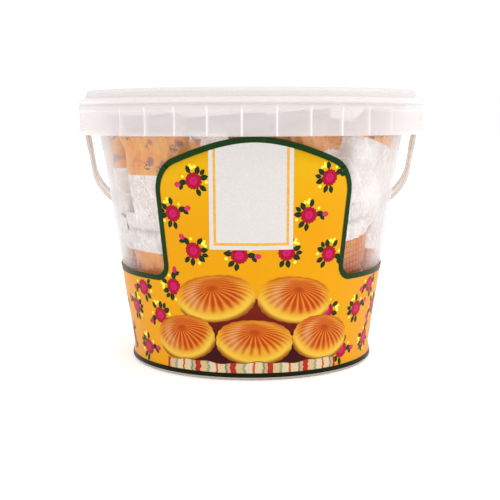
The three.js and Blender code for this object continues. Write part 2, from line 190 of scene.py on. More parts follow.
def capped(rows, columns):
    """Triangles of a tube of closed rings whose ends each run to one further point."""
    last = rows * columns
    return np.concatenate([
        grid_faces(rows, columns, round_columns=True),
        fan(last, np.arange(columns), outward=False),
        fan(last + 1, np.arange(last - columns, last)),
    ])


def joined(parts):
    """Several (points, triangles, uv) as one."""
    starts = np.cumsum([0] + [len(p[0]) for p in parts[:-1]])
    return (
        np.concatenate([p[0] for p in parts]),
        np.concatenate([p[1] + s for p, s in zip(parts, starts)]),
        np.concatenate([p[2] for p in parts]),
    )


def make(name, form, finish, slot, body="tub", replaces=None, sharp=35.0, marks=None):
    """One piece from (points in mm, triangles, uv), with its finish, its body and what it stands
    for.  Marks are named values for each point, which a finish reads."""
    points, faces, uv = form
    mesh = bpy.data.meshes.new(name)
    mesh.vertices.add(len(points))
    mesh.vertices.foreach_set("co", (points * MM).astype(np.float32).ravel())
    mesh.loops.add(faces.size)
    mesh.loops.foreach_set("vertex_index", faces.astype(np.int32).ravel())
    mesh.polygons.add(len(faces))
    mesh.polygons.foreach_set("loop_start", np.arange(0, faces.size, 3, dtype=np.int32))
    mesh.update(calc_edges=True)
    mesh.uv_layers.new(name="print").data.foreach_set("uv", uv[faces.ravel()].astype(np.float32).ravel())
    for mark, values in (marks or {}).items():
        mesh.attributes.new(mark, "FLOAT", "POINT").data.foreach_set("value", values.astype(np.float32))
    mesh.validate()
    mesh.shade_smooth()
    if sharp:
        mesh.set_sharp_from_angle(angle=math.radians(sharp))
    mesh.materials.append(finish)
    piece = bpy.data.objects.new(name, mesh)
    bpy.context.scene.collection.objects.link(piece)
    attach(piece, body)
    if replaces:
        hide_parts(replaces)


def rounded(profile, radius, steps, closed=True):
    """Each corner P of a profile becomes the parabola (1-t)^2 A + 2t(1-t) P + t^2 B between two
    points A and B, a radius before it and after it."""
    p = np.asarray(profile, float)

    def cut(q):
        """Points on the way from each corner to the ones in q."""
        reach = np.linalg.norm(q - p, axis=1)
        return p + (q - p) * np.minimum(0.45, radius / np.maximum(reach, 1e-9))[:, None]

    a, b = cut(np.roll(p, 1, 0)), cut(np.roll(p, -1, 0))
    t = np.linspace(0, 1, steps)[None, :, None]
    curve = ((1 - t) ** 2 * a[:, None] + 2 * t * (1 - t) * p[:, None] + t**2 * b[:, None]).reshape(-1, 2)
    return curve if closed else np.vstack([p[:1], curve[steps:-steps], p[-1:]])


def spaced(line, step, closed=True):
    """The same line with further points, so that none is more than a step from the next."""
    line = np.vstack([line, line[:1]]) if closed else line
    at = np.concatenate([[0], np.cumsum(np.linalg.norm(np.diff(line, axis=0), axis=1))])
    where = np.union1d(at, np.arange(0, at[-1], step))
    where = where[np.concatenate([[True], np.diff(where) > 0.02])]
    out = np.stack([np.interp(where, at, line[:, k]) for k in range(line.shape[1])], 1)
    return out[:-1] if closed else out


def turned(profile, count=288, closed=True):
    """A profile of radius and height carried round Z: (r cos a, r sin a, z).  An open profile
    starts and ends on the axis, and each end is one point there."""
    angle = np.arange(count) * 2 * PI / count
    rings = profile if closed else profile[1:-1]
    r, z = rings[:, :1], rings[:, 1:]
    points = np.stack([r * np.cos(angle), r * np.sin(angle), z + 0 * angle], -1).reshape(-1, 3)
    if closed:
        faces = grid_faces(len(rings), count, round_rows=True, round_columns=True)
    else:
        points = np.concatenate([points, [[0, 0, profile[0, 1]], [0, 0, profile[-1, 1]]]])
        faces = capped(len(rings), count)
    return points, faces, points[:, :2] * 0.005 + 0.5


# ---- finishes -------------------------------------------------------------------------------


def tone(r, g, b):
    """A screen colour of 0..255 as linear light."""
    c = np.array([r, g, b]) / 255
    return (*np.where(c <= 0.04045, c / 12.92, ((c + 0.055) / 1.055) ** 2.4), 1.0)


class Value:
    """Something that a material works out at each point of a surface.  Sums, products and the like
    of these add the nodes that work them out."""

    def __init__(self, finish, socket):
        self.finish, self.socket = finish, socket

    def __add__(self, other):
        return self.finish.maths("ADD", self, other)

    def __sub__(self, other):
        return self.finish.maths("SUBTRACT", self, other)

    def __rsub__(self, other):
        return self.finish.maths("SUBTRACT", other, self)

    def __mul__(self, other):
        return self.finish.maths("MULTIPLY", self, other)

    def __truediv__(self, other):
        return self.finish.maths("DIVIDE", self, other)

    def __mod__(self, other):
        return self.finish.maths("MODULO", self, other)

    def __abs__(self):
        return self.finish.maths("ABSOLUTE", self)


class Finish:
    """A material written one node at a time; each call gives what the node works out."""

    def __init__(self, name):
        self.material = bpy.data.materials.new(name)
        self.material.use_nodes = True
        self.tree = self.material.node_tree
        self.tree.nodes.clear()

    def add(self, kind, inputs=None, out=0, **settings):
        """One node with its settings; an input is given by name or number, as a value or a number."""
        node = self.tree.nodes.new("ShaderNode" + kind)
        for key, value in settings.items():
            setattr(node, key, value)
        for key, value in (inputs or {}).items():
            if isinstance(value, Value):
                self.tree.links.new(value.socket, node.inputs[key])
            else:
                node.inputs[key].default_value = value
        return Value(self, node.outputs[out])

    def maths(self, operation, a, b=0.0):
        """One step of arithmetic on two values or numbers."""
        return self.add("Math", {0: a, 1: b}, operation=operation)

    def sine(self, a):
        return self.maths("SINE", a)

    def cosine(self, a):
        return self.maths("COSINE", a)

    def angle(self, y, x):
        return self.maths("ARCTAN2", y, x)

    def reach(self, x, y, more=0.0):
        """sqrt(x^2 + y^2 + more)"""
        return self.maths("SQRT", x * x + y * y + more)

    def larger(self, a, b):
        return self.maths("MAXIMUM", a, b)

    def held(self, value):
        """The value kept to 0..1."""
        return self.add("Clamp", {0: value})

    def step(self, value, low, high):
        """0 at low and 1 at high, eased between; low may be the greater."""
        ends = {1: low, 2: high, 3: 0.0, 4: 1.0} if low < high else {1: high, 2: low, 3: 1.0, 4: 0.0}
        return self.add("MapRange", {0: value, **ends}, interpolation_type="SMOOTHSTEP")

    def mix(self, factor, a, b):
        """Colour a where the factor is 0 and colour b where it is 1."""
        return self.add("Mix", {0: factor, 6: a, 7: b}, out=2, data_type="RGBA")

    def object(self):
        """The place on the object, in metres."""
        return self.add("TexCoord", out=3)

    def facing(self):
        """0 where the surface is seen face-on and 1 where it is seen edge-on."""
        return self.add("LayerWeight", {"Blend": 0.5}, out=1)

    def xyz(self, where):
        """The three parts of a place."""
        return [Value(self, part) for part in self.add("SeparateXYZ", {0: where}).socket.node.outputs]

    def print_map(self):
        """The piece's own map, 0 to 1 across and up."""
        return self.add("UVMap", uv_map="print")

    def from_middle(self):
        """The piece's own map as x and y of -1 to 1 from its middle."""
        u, v, _ = self.xyz(self.print_map())
        return u * 2.0 - 1.0, v * 2.0 - 1.0

    def noise(self, where, scale, detail=2.0, rough=0.5, distortion=0.0):
        return self.add("TexNoise", {
            "Vector": where, "Scale": scale, "Detail": detail, "Roughness": rough, "Distortion": distortion,
        })

    def cells(self, where, scale, randomness=1.0):
        """How far it is to the nearest of many scattered points."""
        return self.add("TexVoronoi", {"Vector": where, "Scale": scale, "Randomness": randomness})

    def bump(self, height, distance, strength=1.0, normal=None):
        """The surface's normal, tipped by a height that spans a distance in mm."""
        inputs = {"Height": height, "Distance": distance * MM, "Strength": strength}
        if normal is not None:
            inputs["Normal"] = normal
        return self.add("Bump", inputs)

    def principled(self, **inputs):
        """The main shader, its inputs named with _ for each space."""
        return self.add("BsdfPrincipled", {k.replace("_", " "): v for k, v in inputs.items()})

    def printed(self, colour):
        """Ink under thin film: a weak sheen, broken by the film's slow waves."""
        skin = self.bump(self.noise(self.object(), 45.0, 2.0), 0.2, 0.3)
        rough = self.noise(self.object(), 25.0) * 0.15 + 0.28
        return self.principled(Base_Color=colour, Roughness=rough, Specular_IOR_Level=0.08, Normal=skin)

    def show(self, shader):
        """The finished material, which shows this shader."""
        output = self.tree.nodes.new("ShaderNodeOutputMaterial")
        self.tree.links.new(shader.socket, output.inputs["Surface"])
        return self.material

    def see_through(self, solid, body, tint):
        """The body by its share of solid, and the rest tinted clear."""
        clear = self.add("BsdfTransparent", {"Color": (*tint, 1)})
        return self.show(self.add("MixShader", {0: solid, 1: clear, 2: body}))


def clear_plastic(
    name, tint, flat_on, edge_on, cloud, roughness, ripple, turn_on=0.25, webs=False, window=0.0
):
    """See-through moulded plastic: milkier where it is seen edge-on, with slow clouds of haze and
    the faint waviness of a moulded skin.  Part of the haze passes light on.  With webs, a painted
    highlight, a whiter upright line, shows where each web joins, on the skirt below the band and
    where it is seen face-on: |sin(RIBS (angle - RIB_TURN) / 2)| near 0.  Within the window's
    radius the sheet is thinner and clearer."""
    f = Finish(name)
    where = f.object()
    x, y, z = f.xyz(where)
    haze = f.noise(where, 18.0, 3.0)
    edge = f.facing()
    solid = f.step(edge, turn_on, 1.0) * (edge_on - flat_on) + flat_on
    solid = f.held((haze - 0.5) * cloud + solid)
    skin = f.bump(f.noise(where, 55.0, 2.0), ripple, 0.35)
    rough = haze * 0.12 + (roughness - 0.06)
    if window:
        thin = f.step(f.reach(x, y), window * MM, (window - 1.5) * MM)
        solid = solid * (1.0 - thin * 0.62)
    if webs:
        # painted highlight: extra milk in an upright line over each web's join, below the band, only where
        # the skirt is seen face-on
        off = abs(f.sine((f.angle(y, x) - math.radians(RIB_TURN)) * (RIBS / 2)))
        painted_highlight = f.step(z, (COLLAR_BAND + 3) * MM, COLLAR_BAND * MM) * f.step(edge, 0.55, 0.15)
        solid = f.held(f.step(off, 0.13, 0.05) * painted_highlight * 0.36 + solid)
    body = f.principled(Base_Color=tint, Roughness=rough, IOR=1.49, Normal=skin)
    glow = f.add("BsdfTranslucent", {"Color": tint})
    milk = f.add("MixShader", {0: 0.2, 1: body, 2: glow})
    return f.see_through(solid, milk, (0.985, 0.983, 0.98))


def rib_plastic():
    """Clear webs with a painted highlight: a white line at their outer end, where they run into the skirt.
    """
    f = Finish("rib_clear")
    x, y, _ = f.xyz(f.object())
    front = f.step(f.facing(), 0.99, 0.9)
    # painted highlight: half-milky white at the outer end of each web, except where it is seen edge-on
    solid = f.step(f.reach(x, y), 0.0945, 0.0955) * front * 0.5 + 0.03
    rough = f.noise(f.object(), 60.0) * 0.1 + 0.2
    body = f.principled(Base_Color=tone(255, 254, 254), Roughness=rough, IOR=1.49)
    return f.see_through(solid, body, (0.99, 0.99, 0.988))


def printed_ground():
    """Golden film with a fine print mottle, and painted shade: deeper in tone low on the wall and towards
    its left and right sides.
    """
    f = Finish("label_gold")
    where = f.object()
    x, _, z = f.xyz(where)
    # painted shade: the gold is lighter above about 118 mm and deeper below about 78 mm
    below = f.step(z, 0.118, 0.078)
    colour = f.mix(below, tone(229, 175, 10), tone(229, 157, 4))
    # painted shade: deeper and more orange towards the left and right, where the wall turns away from the
    # front
    painted_shade_sides = f.step(abs(x), 0.05, 0.068)
    colour = f.mix(painted_shade_sides * 0.6, colour, tone(226, 148, 22))
    mottle = f.step(f.noise(where, 900.0, 2.0), 0.35, 0.65)
    colour = f.mix(mottle * 0.10, colour, tone(236, 182, 28))
    return f.show(f.printed(colour))


def printed_plain(name, deep, light, grain=700.0):
    """One printed ink, mottled between two near screen colours."""
    f = Finish(name)
    colour = f.mix(f.step(f.noise(f.object(), grain, 3.0), 0.3, 0.7), tone(*deep), tone(*light))
    return f.show(f.printed(colour))


def printed_blossom():
    """A bloom on its own map: pink heart, crimson petals parted by darker curved lines."""
    f = Finish("label_blossom")
    x, y = f.from_middle()
    r = f.reach(x, y)
    petals = f.sine(f.angle(y, x) * 7.0 + r * 5.0)
    rings = f.sine(r * 13.0 + petals * 0.8)
    colour = f.mix(f.step(r, 0.15, 0.7), tone(216, 26, 112), tone(178, 20, 46))
    colour = f.mix(f.step(rings, 0.3, 0.95) * 0.55, colour, tone(120, 10, 38))
    colour = f.mix(f.step(r, 0.82, 0.98), colour, tone(128, 12, 30))
    return f.show(f.printed(colour))


def printed_leaf():
    """A leaf on its own map: dark green with a paler rib and side veins."""
    f = Finish("label_leaf")
    u, v, _ = f.xyz(f.print_map())
    off = abs(v - 0.5)
    rib = f.step(off, 0.07, 0.02)
    veins = f.step(f.sine((u + off) * 38.0), 0.75, 0.98)
    mark = f.larger(rib, veins * 0.4)
    colour = f.mix(mark * 0.5, tone(18, 42, 24), tone(66, 96, 40))
    return f.show(f.printed(colour))


DIMPLE = 0.5


def printed_biscuit():
    """A domed round biscuit on its own map.  Its dimple lies DIMPLE above the middle; t is the
    share of the way from the dimple to the rim, R = sqrt(1 - DIMPLE^2 ux^2) - DIMPLE uy along the
    direction (ux, uy).  Ridges run out from the dimple and bend down, their turn from straight
    down being cut by 0.3 t^2; the top is toasted and the side below it yellow."""
    f = Finish("label_biscuit")
    x, y = f.from_middle()
    rise = y - DIMPLE
    r = f.reach(x, rise, 1e-5)
    ux, uy = x / r, rise / r
    t = r / (f.maths("SQRT", 1.0 - ux * ux * DIMPLE**2) - uy * DIMPLE)
    where = f.object()
    bow = f.angle(x, rise * -1.0) / (1.0 - t * t * 0.3)
    stray = f.noise(where, 70.0, 3.0) * 3.2
    wave = f.cosine(bow * 24.0 + stray)
    blotch = (f.noise(where, 48.0, 3.0) - 0.5) * 1.1
    near = f.step(y, 0.1, -0.75)
    toasted = f.step(t + near * 0.25 + blotch, 1.02, 0.5)
    colour = f.mix(toasted, tone(238, 168, 44), tone(206, 84, 14))
    inner = f.step(t, 0.06, 0.25) * f.step(near * 0.2 + t, 1.05, 0.7)
    groove = f.step(wave, 0.1, 1.0) * inner
    colour = f.mix(groove * 0.65, colour, tone(160, 48, 6))
    crest = f.step(wave, -0.2, -1.0) * inner
    colour = f.mix(crest * 0.42, colour, tone(250, 190, 74))
    colour = f.mix(f.step(t, 0.2, 0.04) * 0.55, colour, tone(166, 62, 12))
    rim = f.step(t, 0.66, 0.9) * f.step(y, 0.35, -0.35)
    colour = f.mix(rim * 0.85, colour, tone(244, 208, 74))
    glance = f.step(abs(t - 0.55), 0.3, 0.0) * f.step(x, -0.1, -0.6)
    colour = f.mix(glance * 0.3, colour, tone(255, 222, 150))
    under = f.step(t, 0.88, 1.0) * f.step(y, 0.0, -0.5)
    colour = f.mix(under * 0.9, colour, tone(150, 70, 10))
    far = f.step(t, 0.75, 1.0) * f.step(y, 0.3, 0.8)
    colour = f.mix(far * 0.75, colour, tone(188, 82, 20))
    colour = f.mix(0.14, colour, tone(120, 44, 8))
    return f.show(f.printed(colour))


def printed_shade():
    """The dark hollow behind the printed biscuits: brown at the rim, near black low down."""
    f = Finish("label_shade")
    place = f.print_map()
    _, v, _ = f.xyz(place)
    colour = f.mix(f.step(v, 0.15, 0.95), tone(40, 8, 14), tone(122, 30, 14))
    colour = f.mix(f.noise(place, 6.0, 3.0) * 0.5, colour, tone(96, 24, 20))
    return f.show(f.printed(colour))


def printed_cloth():
    """A strip of striped cloth: uneven upright stripes of cream, red and grey green, with threads."""
    f = Finish("label_cloth")
    place = f.print_map()
    u, v, _ = f.xyz(place)
    wander = f.noise(place, 5.0, 1.0) * 0.03 + u
    stripes = f.add("ValToRGB", {0: f.maths("FRACT", wander * 5.0)})
    ramp = stripes.socket.node.color_ramp
    ramp.interpolation = "CONSTANT"
    inks = [
        (0.0, (176, 44, 34)), (0.16, (222, 190, 140)), (0.34, (150, 168, 140)), (0.42, (230, 208, 170)),
        (0.60, (196, 90, 50)), (0.66, (226, 204, 160)), (0.86, (120, 140, 120)), (0.92, (214, 176, 130)),
    ]
    while len(ramp.elements) < len(inks):
        ramp.elements.new(0.5)
    for element, (at, ink) in zip(ramp.elements, inks):
        element.position, element.color = at, tone(*ink)
    threads = f.step(f.sine(u * 900.0), -0.2, 0.8)
    colour = f.mix(threads * 0.25, stripes, tone(110, 70, 50))
    colour = f.mix(f.step(v, 0.75, 1.0), colour, tone(120, 60, 30))
    return f.show(f.printed(colour))


def strap_plastic():
    """Satin beige moulding, deeper in tone along its thick edges, with soft flow marks."""
    f = Finish("strap_beige")
    where = f.object()
    _, v, _ = f.xyz(f.print_map())
    edge = f.step(abs(v - 0.5), 0.28, 0.46)
    flow = f.noise(where, 70.0, 3.0)
    colour = f.mix(edge, tone(240, 232, 226), tone(200, 186, 175))
    colour = f.mix(f.step(flow, 0.35, 0.7) * 0.3, colour, tone(244, 240, 236))
    skin = f.bump(f.noise(where, 240.0, 3.0), 0.08, 0.5)
    body = f.principled(Base_Color=colour, Roughness=flow * 0.2 + 0.3, IOR=1.49, Normal=skin)
    return f.see_through(edge * 0.3 + 0.32, body, (0.97, 0.95, 0.92))


PRINT_REPEAT = 66.0


def printed_band(f, flat):
    """The orange band: two slow tones, purple blooms with darker hearts, and broken grey leaves."""
    band = f.mix(f.step(f.noise(flat, 0.06, 3.0), 0.3, 0.7), tone(238, 174, 102), tone(228, 146, 74))
    broken = f.step(f.noise(flat, 0.9, 2.0), 0.46, 0.56)
    apart = f.cells(flat, 0.1, randomness=0.8)
    bloom = f.step(apart - broken * 0.04, 0.29, 0.16)
    heart = f.step(apart, 0.16, 0.06)
    shifted = f.add("VectorMath", {0: flat, 1: (3.0, 2.4, 0.0)}, operation="ADD")
    leafy = f.step(f.cells(shifted, 0.1, randomness=0.8), 0.30, 0.22)
    band = f.mix(leafy * broken, band, tone(112, 98, 100))
    band = f.mix(bloom * 0.8, band, tone(150, 104, 120))
    return f.mix(heart * 0.6, band, tone(140, 76, 112))


def printed_pale(f, flat, where, along):
    """The whitish ground: warm in patches, with white scribbles, and with slant lines where x + y,
    given as along, is a whole number of 18.5 mm."""
    pale = f.mix(f.step(f.noise(where, 60.0, 4.0, 0.6), 0.3, 0.7), tone(224, 212, 209), tone(245, 239, 239))
    warm = f.step(f.noise(where, 26.0, 2.0), 0.45, 0.75)
    pale = f.mix(warm * 0.3, pale, tone(224, 190, 166))
    curl = abs(f.noise(flat, 0.26, 2.0, 0.5, 0.8) - 0.5)
    slant = abs(f.sine(along * 0.17))
    lines = f.larger(f.step(curl, 0.022, 0.012), f.step(slant, 0.10, 0.05))
    return f.mix(lines * 0.8, pale, tone(255, 254, 254))


def pack_film():
    """Crinkled wrapping film on each pack's own map in mm, x across and y along it: a printed
    orange band, a whitish ground and ribbed pale seals.  The mark lie is a number of each pack's
    own, and slip is how far its print has slid along the film."""
    f = Finish("pack_film")
    where = f.object()
    _, _, height = f.xyz(where)
    u, v, _ = f.xyz(f.print_map())
    lie = f.add("Attribute", attribute_name="lie", out=2)
    slip = f.add("Attribute", attribute_name="slip", out=2)
    x = (u - 0.5) * PACK_WIDTH
    y = v * PACK_LENGTH
    print_y = (y - slip + PRINT_REPEAT) % PRINT_REPEAT
    flat = f.add("CombineXYZ", {0: x, 1: print_y, 2: lie * 97.0})
    banded = f.step(print_y, 44.8, 45.2) * f.step(print_y, 65.4, 64.8)
    colour = f.mix(banded, printed_pale(f, flat, where, x + print_y), printed_band(f, flat))
    # low in the pail the film lies in its own shade, and some packs are cross-ribbed there
    low = f.step(height, 0.085, 0.055) * banded
    checked = f.step(abs(lie - 0.66), 0.1, 0.14)
    colour = f.mix(low * (checked * 0.5 + 0.35), colour, tone(198, 96, 24))
    weave = f.larger(f.sine(x * 2.3), f.sine(y * 2.1))
    hatch = f.step(weave, 0.55, 0.95) * low * checked
    colour = f.mix(hatch * 0.6, colour, tone(110, 48, 36))
    # creases and flat facets between them
    crease = abs(f.noise(where, 85.0, 4.0, 0.55, 0.4) - 0.5)
    crinkle = f.bump(f.step(crease, 0.0, 0.16), 0.5, 0.6)
    facet = f.bump(f.cells(where, 90.0), 0.5, 0.5, crinkle)
    # seals: ribbed, white low in the pail and grey high in it
    high_seal = f.step(y, PACK_LENGTH - CRIMP - 0.5, PACK_LENGTH - CRIMP + 0.5)
    seal = f.larger(high_seal, f.step(y, CRIMP + 0.5, CRIMP - 0.5))
    high_up = f.step(height, 0.112, 0.122)
    grey = f.mix(high_up, tone(250, 245, 244), tone(162, 146, 158))
    sealed = seal * (0.8 - banded * 0.5)
    gathered = f.step(height, 0.124, 0.129) * 0.8
    colour = f.mix(f.larger(sealed, gathered), colour, grey)
    ribbing = f.sine(x * 4.2) * seal
    skin = f.bump(ribbing, 0.22, 0.9, facet)
    ink = f.step(ribbing, 0.2, 0.9) * (high_up * 0.2 + 0.08)
    colour = f.mix(ink, colour, tone(150, 128, 128))
    rough = f.step(crease, 0.0, 0.1) * 0.15 + 0.2
    return f.show(f.principled(Base_Color=colour, Roughness=rough, IOR=1.5, Normal=skin))


def core_film():
    """The hidden middle of the heap: folded whitish film with warm shadows."""
    f = Finish("core_film")
    where = f.object()
    fold = f.noise(where, 45.0, 4.0, 0.6, 0.5)
    colour = f.mix(f.step(fold, 0.3, 0.7), tone(196, 168, 150), tone(238, 230, 226))
    skin = f.bump(abs(fold - 0.5), 2.0, 0.9)
    return f.show(f.principled(Base_Color=colour, Roughness=0.35, IOR=1.5, Normal=skin))


# ---- the pail -------------------------------------------------------------------------------


def shell():
    """Foot ring, floor, tapered wall and the bead at the mouth, as one rounded profile turned."""
    floor_top = FLOOR_LIFT + WALL
    profile = [
        [0, FLOOR_LIFT],
        [FOOT_RADIUS - FOOT_WIDTH - 2, FLOOR_LIFT],
        [FOOT_RADIUS - FOOT_WIDTH, 0],
        [FOOT_RADIUS, 0],
        [wall_radius(FOOT_HEIGHT), FOOT_HEIGHT],
        [wall_radius(RIM_TOP - 4), RIM_TOP - 4],
        [RIM_BEAD, RIM_TOP - 2.6],
        [RIM_BEAD, RIM_TOP - 1.4],
        [RIM_BEAD - 1.2, RIM_TOP],
        [wall_radius(RIM_TOP) - WALL, RIM_TOP],
        [wall_radius(FOOT_HEIGHT) - WALL, FOOT_HEIGHT],
        [wall_radius(FOOT_HEIGHT) - WALL - 3, floor_top],
        [0, floor_top],
    ]
    return turned(spaced(rounded(profile, 0.5, 4, closed=False), 4.0, closed=False), closed=False)


def collar():
    """Flange, skirt and upstand as one rounded profile turned; |x| is held to the sunken flats at
    each side, where the upstand is lowered to the flange."""
    flange_bottom = COLLAR_LEDGE - WALL
    root = wall_radius(flange_bottom) - 0.1
    inside = COLLAR_RADIUS - WALL
    groove = COLLAR_LEDGE - 0.4
    profile = [
        [root, flange_bottom],
        [inside, flange_bottom],
        [inside, COLLAR_BOTTOM],
        [COLLAR_RADIUS - COLLAR_STEP, COLLAR_BOTTOM],
        [COLLAR_RADIUS - COLLAR_STEP, COLLAR_BAND],
        [COLLAR_RADIUS, COLLAR_BAND + COLLAR_STEP],
        [COLLAR_RADIUS, groove],
        [COLLAR_RADIUS - COLLAR_GROOVE, groove],
        [COLLAR_RADIUS - COLLAR_GROOVE, groove + 1.4],
        [COLLAR_RADIUS, groove + 1.4],
        [COLLAR_RADIUS, COLLAR_TOP - 0.5],
        [COLLAR_RADIUS - 0.5, COLLAR_TOP],
        [inside, COLLAR_TOP],
        [inside, COLLAR_LEDGE],
        [root, COLLAR_LEDGE],
    ]
    points, faces, uv = turned(spaced(rounded(profile, 0.22, 3), 3.0), 720)
    x, y, z = points.T
    r = np.hypot(x, y)
    limit = np.where(r > inside - 0.3, EAR_FLAT - (COLLAR_RADIUS - np.maximum(r, inside)), np.inf)
    flat_x = np.sign(x) * np.minimum(np.abs(x), limit)
    from_ear = np.degrees(np.arctan2(np.abs(y), np.abs(x)))
    stand = np.clip((from_ear - EAR_OPENING) / EAR_RISE, 0.02, 1)
    z = np.where(z > COLLAR_LEDGE, COLLAR_LEDGE + (z - COLLAR_LEDGE) * stand, z)
    return np.stack([flat_x, y, z], 1), faces, uv


def ribs():
    """Thin upright webs between wall and skirt: a rounded four-cornered outline of radius and
    height, given its width and a slight draught, and set round the collar except at the ears."""
    bottom, top = COLLAR_BOTTOM + 1, COLLAR_LEDGE - WALL / 2
    outer = COLLAR_RADIUS - WALL + 0.25
    outline = rounded([
        [wall_radius(bottom) - 0.2, bottom], [outer, bottom],
        [outer, top], [wall_radius(top) - 0.2, top],
    ], 0.5, 4)
    middle = outline.mean(0)
    layers = np.array([[-1.0, 0.96], [-0.7, 1.0], [0.7, 1.0], [1.0, 0.96]])
    rings = middle + (outline - middle) * layers[:, 1, None, None]
    width = layers[:, :1] * RIB_WIDTH / 2 + np.zeros(len(outline))
    web = np.stack([rings[..., 0], width, rings[..., 1]], -1).reshape(-1, 3)
    count = len(outline)
    ends = np.array([[middle[0], -RIB_WIDTH / 2, middle[1]], [middle[0], RIB_WIDTH / 2, middle[1]]])
    faces = capped(4, count)[:, ::-1]
    web = np.concatenate([web, ends])
    angle = RIB_TURN + np.arange(RIBS) * 360 / RIBS
    from_ear = np.abs((angle + 90) % 180 - 90)
    angle = np.radians(angle[from_ear > EAR_HALF_ANGLE])[:, None]
    x = web[:, 0] * np.cos(angle) - web[:, 1] * np.sin(angle)
    y = web[:, 0] * np.sin(angle) + web[:, 1] * np.cos(angle)
    points = np.stack([x, y, web[:, 2] + 0 * angle], -1)
    all_faces = faces[None] + (np.arange(len(angle)) * len(web))[:, None, None]
    points = points.reshape(-1, 3)
    return points, all_faces.reshape(-1, 3), points[:, :2] * 0.005 + 0.5


def lid():
    """A sunken panel with a stacking ring and a gate dimple, the plug that fills the mouth and a
    stepped bead that caps the rim, as one rounded profile turned."""
    crown = LID_RADIUS - 2 * LID_GROOVE
    channel = crown - WALL
    under = LID_PANEL_TOP - WALL
    profile = [
        [0, under],
        [LID_PLUG_RADIUS, under],
        [LID_PLUG_RADIUS, HEIGHT - WALL],
        [channel, HEIGHT - WALL],
        [channel, LID_BOTTOM],
        [LID_RADIUS, LID_BOTTOM],
        [LID_RADIUS, HEIGHT - 3.1],
        [LID_RADIUS - LID_GROOVE, HEIGHT - 3.1],
        [LID_RADIUS - LID_GROOVE, HEIGHT - 1.6],
        [crown, HEIGHT - 1.6],
        [crown - 0.6, HEIGHT],
        [LID_PLUG_RADIUS - WALL, HEIGHT],
        [LID_PLUG_RADIUS - WALL - 0.6, LID_PANEL_TOP],
        [LID_RING, LID_PANEL_TOP],
        [LID_RING - 0.6, LID_PANEL_TOP - 0.4],
        [LID_RING - 2.6, LID_PANEL_TOP - 0.4],
        [LID_RING - 3.2, LID_PANEL_TOP],
        [LID_GATE, LID_PANEL_TOP],
        [LID_GATE - 0.8, LID_PANEL_TOP - 0.35],
        [0, LID_PANEL_TOP - 0.35],
    ]
    return turned(spaced(rounded(profile, 0.25, 4, closed=False), 4.0, closed=False), closed=False)


# ---- the label ------------------------------------------------------------------------------

# how far each print stands off the wall, so that no two lie in one place
LIFT = {
    "film": 0.5, "leaf": 0.55, "hollow": 0.565, "bud": 0.57, "bloom": 0.58, "biscuit": 0.585,
    "panel": 0.62, "cloth": 0.64, "gold": 0.65, "border": 0.69,
}
MIDDLE_WALL = 78.0
FRONT = -PI / 2
PANEL_HALF, PANEL_BOTTOM, PANEL_EDGE = 21.2, 69.5, 1.5


def on_label(name, form, finish, **more):
    """A printed piece of the label, smooth all over."""
    make(name, form, finish, "label_print", sharp=0, **more)


def bow_height(along):
    """Height of an arch's bowed top: a hyperbola that falls away from its crest."""
    return ARCH_TOP - ARCH_SLOPE * (np.hypot(along, ARCH_CREST) - ARCH_CREST)


def shoulder_start(side):
    """Where the bow meets the shoulder's arc, and the angle of the arc's radius there."""
    along, start = side - SHOULDER_RADIUS, 0.0
    for _ in range(12):
        start = PI / 2 - math.atan(ARCH_SLOPE * along / math.hypot(along, ARCH_CREST))
        along = side - SHOULDER_RADIUS * (1 - math.cos(start))
    return along, start


def quarter_edge():
    """Upper edge of the label from the middle of an arch to the middle of a window, as degrees and
    height: a hyperbola for the bowed top, an arc for the shoulder, an upright side, an arc for the
    window's corner and the level band."""
    shoulder_wall = math.radians(wall_radius(ARCH_TOP - SHOULDER_RADIUS / 2))
    corner_wall = math.radians(wall_radius(LABEL_BAND_TOP))
    side = ARCH_HALF_ANGLE * shoulder_wall
    bow_end, start = shoulder_start(side)
    along = np.linspace(0, bow_end, 60, endpoint=False)
    bow = np.stack([along / shoulder_wall, bow_height(along)], 1)
    turn = np.linspace(start, 0, 22)
    middle = bow_height(bow_end) - SHOULDER_RADIUS * math.sin(start)
    shoulder = np.stack([
        (side - SHOULDER_RADIUS + SHOULDER_RADIUS * np.cos(turn)) / shoulder_wall,
        middle + SHOULDER_RADIUS * np.sin(turn),
    ], 1)
    turn = np.linspace(PI, 1.5 * PI, 14)
    corner = np.stack([
        ARCH_HALF_ANGLE + 0.1 + (WINDOW_CORNER + WINDOW_CORNER * np.cos(turn)) / corner_wall,
        LABEL_BAND_TOP + WINDOW_CORNER + WINDOW_CORNER * np.sin(turn),
    ], 1)
    angle = np.linspace(corner[-1, 0], 90, 60)[1:]
    return np.concatenate([bow, shoulder, corner, np.stack([angle, 0 * angle + LABEL_BAND_TOP], 1)])


QUARTER = quarter_edge()


def top_edge(turn):
    """Height of the label's upper edge at a turn in radians about Z."""
    angle = np.degrees(np.asarray(turn)) + 90 - LABEL_TURN
    folded = np.abs((angle + 90) % 180 - 90)
    return np.interp(folded, QUARTER[:, 0], QUARTER[:, 1])


def whole_edge():
    """The quarter mirrored, and the half repeated at the back: turns in radians, and heights."""
    half = np.concatenate([QUARTER[:0:-1] * [-1, 1], QUARTER[:-1]])
    both = np.concatenate([half, half + [180, 0]])
    return np.radians(both[:, 0] - 90 + LABEL_TURN), both[:, 1]


def on_wall(turn, z, lift):
    """Points at a turn and a height, lifted off the wall."""
    r = wall_radius(z) + lift
    return np.stack([r * np.cos(turn), r * np.sin(turn), z + 0 * turn], -1)


